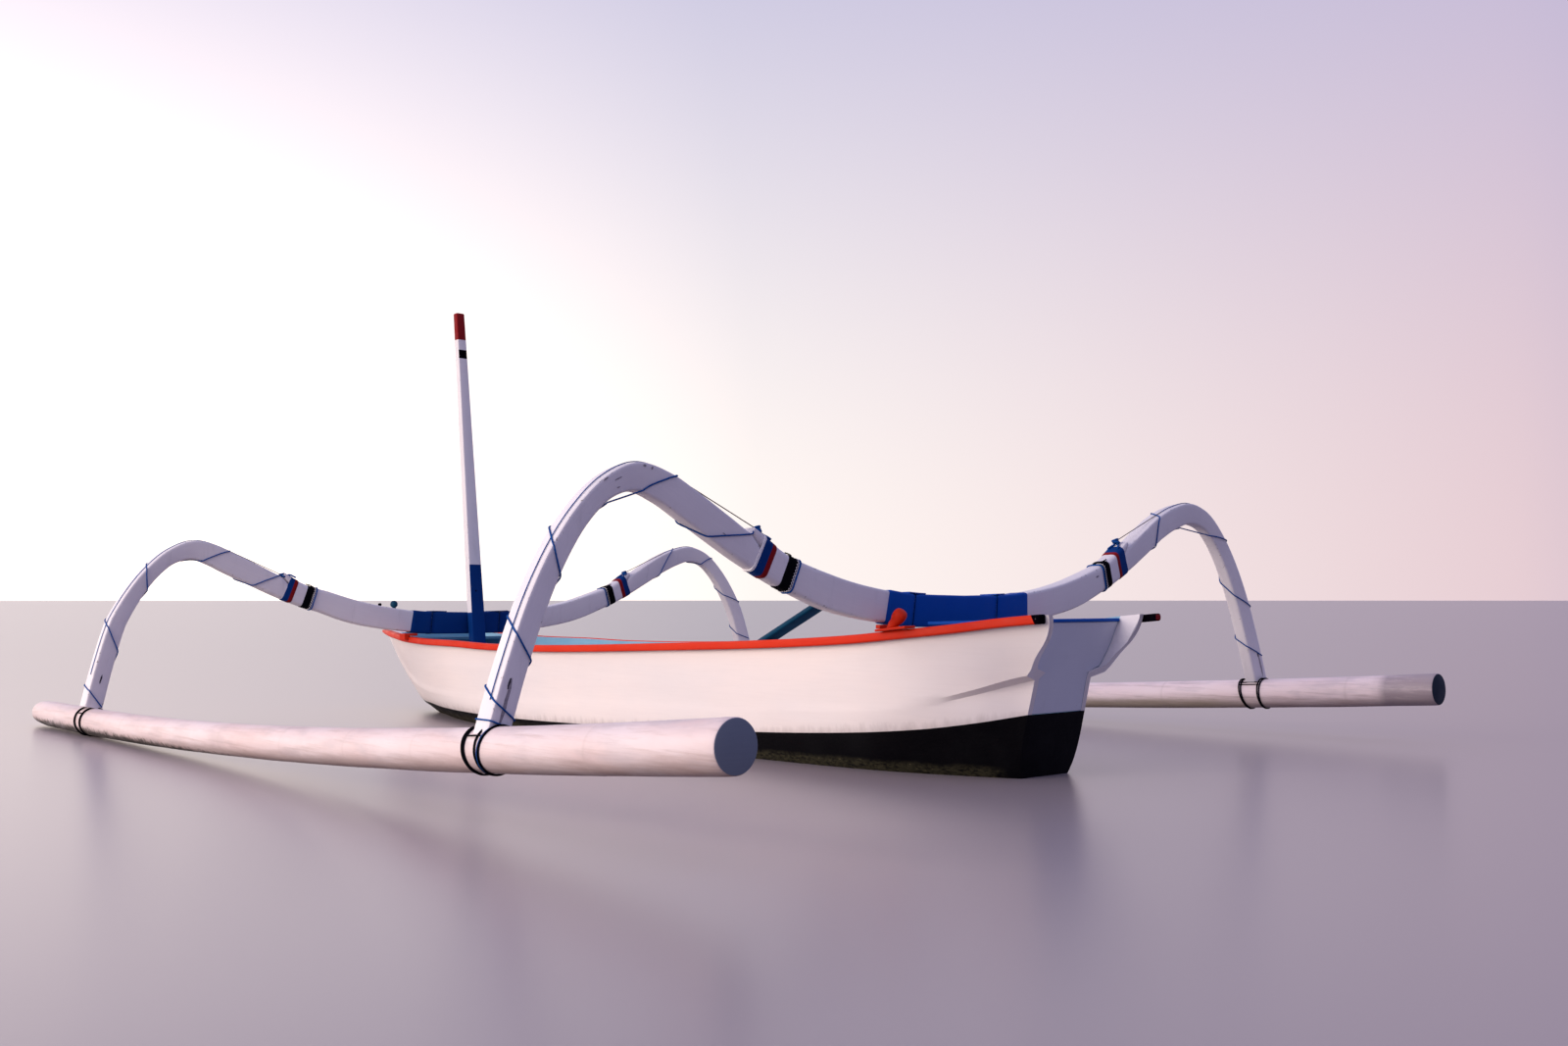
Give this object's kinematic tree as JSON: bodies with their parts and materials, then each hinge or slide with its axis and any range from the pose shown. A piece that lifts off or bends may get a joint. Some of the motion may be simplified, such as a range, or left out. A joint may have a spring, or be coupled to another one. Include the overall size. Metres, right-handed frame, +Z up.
{
  "type": "outrigger canoe",
  "caption": "Wooden double-outrigger sailing canoe afloat: narrow painted hull with an upswept beak, arched arms lashed to bamboo floats, bare mast and a stowed steering oar.",
  "frame": {"origin": "on the water surface, on the hull's centreline, midway between the two cross beams", "axes": "+X to the bow, +Y to port, +Z up"},
  "size_m": [6.0729, 4.5687, 2.5765],
  "materials": {
    "white_paint": "worn white paint on wood and bamboo",
    "black_paint": "matt black paint on the dugout, with algae at the waterline",
    "blue_paint": "royal blue paint, satin",
    "light_blue_paint": "faded light blue paint",
    "orange_paint": "orange-red paint, satin",
    "teal_paint": "dark teal paint, satin",
    "blue_rope": "laid synthetic rope, weathered",
    "dark_rope": "dark rubber and rope lashing",
    "bare_wood": "bare weathered wood"
  },
  "bodies": {
    "root": {"dugout_stern": "black_paint", "dugout_aft": "black_paint", "dugout_middle": "black_paint", "dugout_fore": "black_paint", "dugout_bow": "black_paint", "side_port": "white_paint", "side_starboard": "white_paint", "stem_block": "white_paint", "transom": "white_paint", "stern_board": "blue_paint", "foredeck": "light_blue_paint", "thwart_aft": "light_blue_paint", "thwart_middle": "light_blue_paint", "thwart_fore": "light_blue_paint", "rail_port_aft": "orange_paint", "rail_port_middle": "orange_paint", "rail_port_fore": "orange_paint", "rail_starboard_aft": "orange_paint", "rail_starboard_middle": "orange_paint", "rail_starboard_fore": "orange_paint", "float_port_aft": "white_paint", "float_port_fore": "white_paint", "float_starboard_aft": "white_paint", "float_starboard_fore": "white_paint", "beam_aft": "white_paint", "beam_fore": "white_paint", "beam_cover_aft": "blue_paint", "beam_cover_fore": "blue_paint", "beam_seat_aft_port": "orange_paint", "beam_seat_aft_starboard": "orange_paint", "beam_seat_fore_port": "orange_paint", "beam_seat_fore_starboard": "orange_paint", "arm_aft_port": "white_paint", "arm_aft_starboard": "white_paint", "arm_fore_port": "white_paint", "arm_fore_starboard": "white_paint", "wrap_blue_aft_port": "blue_rope", "wrap_blue_aft_starboard": "blue_rope", "wrap_blue_fore_port": "blue_rope", "wrap_blue_fore_starboard": "blue_rope", "wrap_black_aft_port": "dark_rope", "wrap_black_aft_starboard": "dark_rope", "wrap_black_fore_port": "dark_rope", "wrap_black_fore_starboard": "dark_rope", "foot_lashing_aft_port": "dark_rope", "foot_lashing_aft_starboard": "dark_rope", "foot_lashing_fore_port": "dark_rope", "foot_lashing_fore_starboard": "dark_rope", "knob_port": "orange_paint", "knob_starboard": "orange_paint", "beak": "white_paint", "bow_finial": "teal_paint", "steering_oar": "teal_paint", "mast_step": "bare_wood", "mast": "white_paint"}
  },
  "joints": []
}
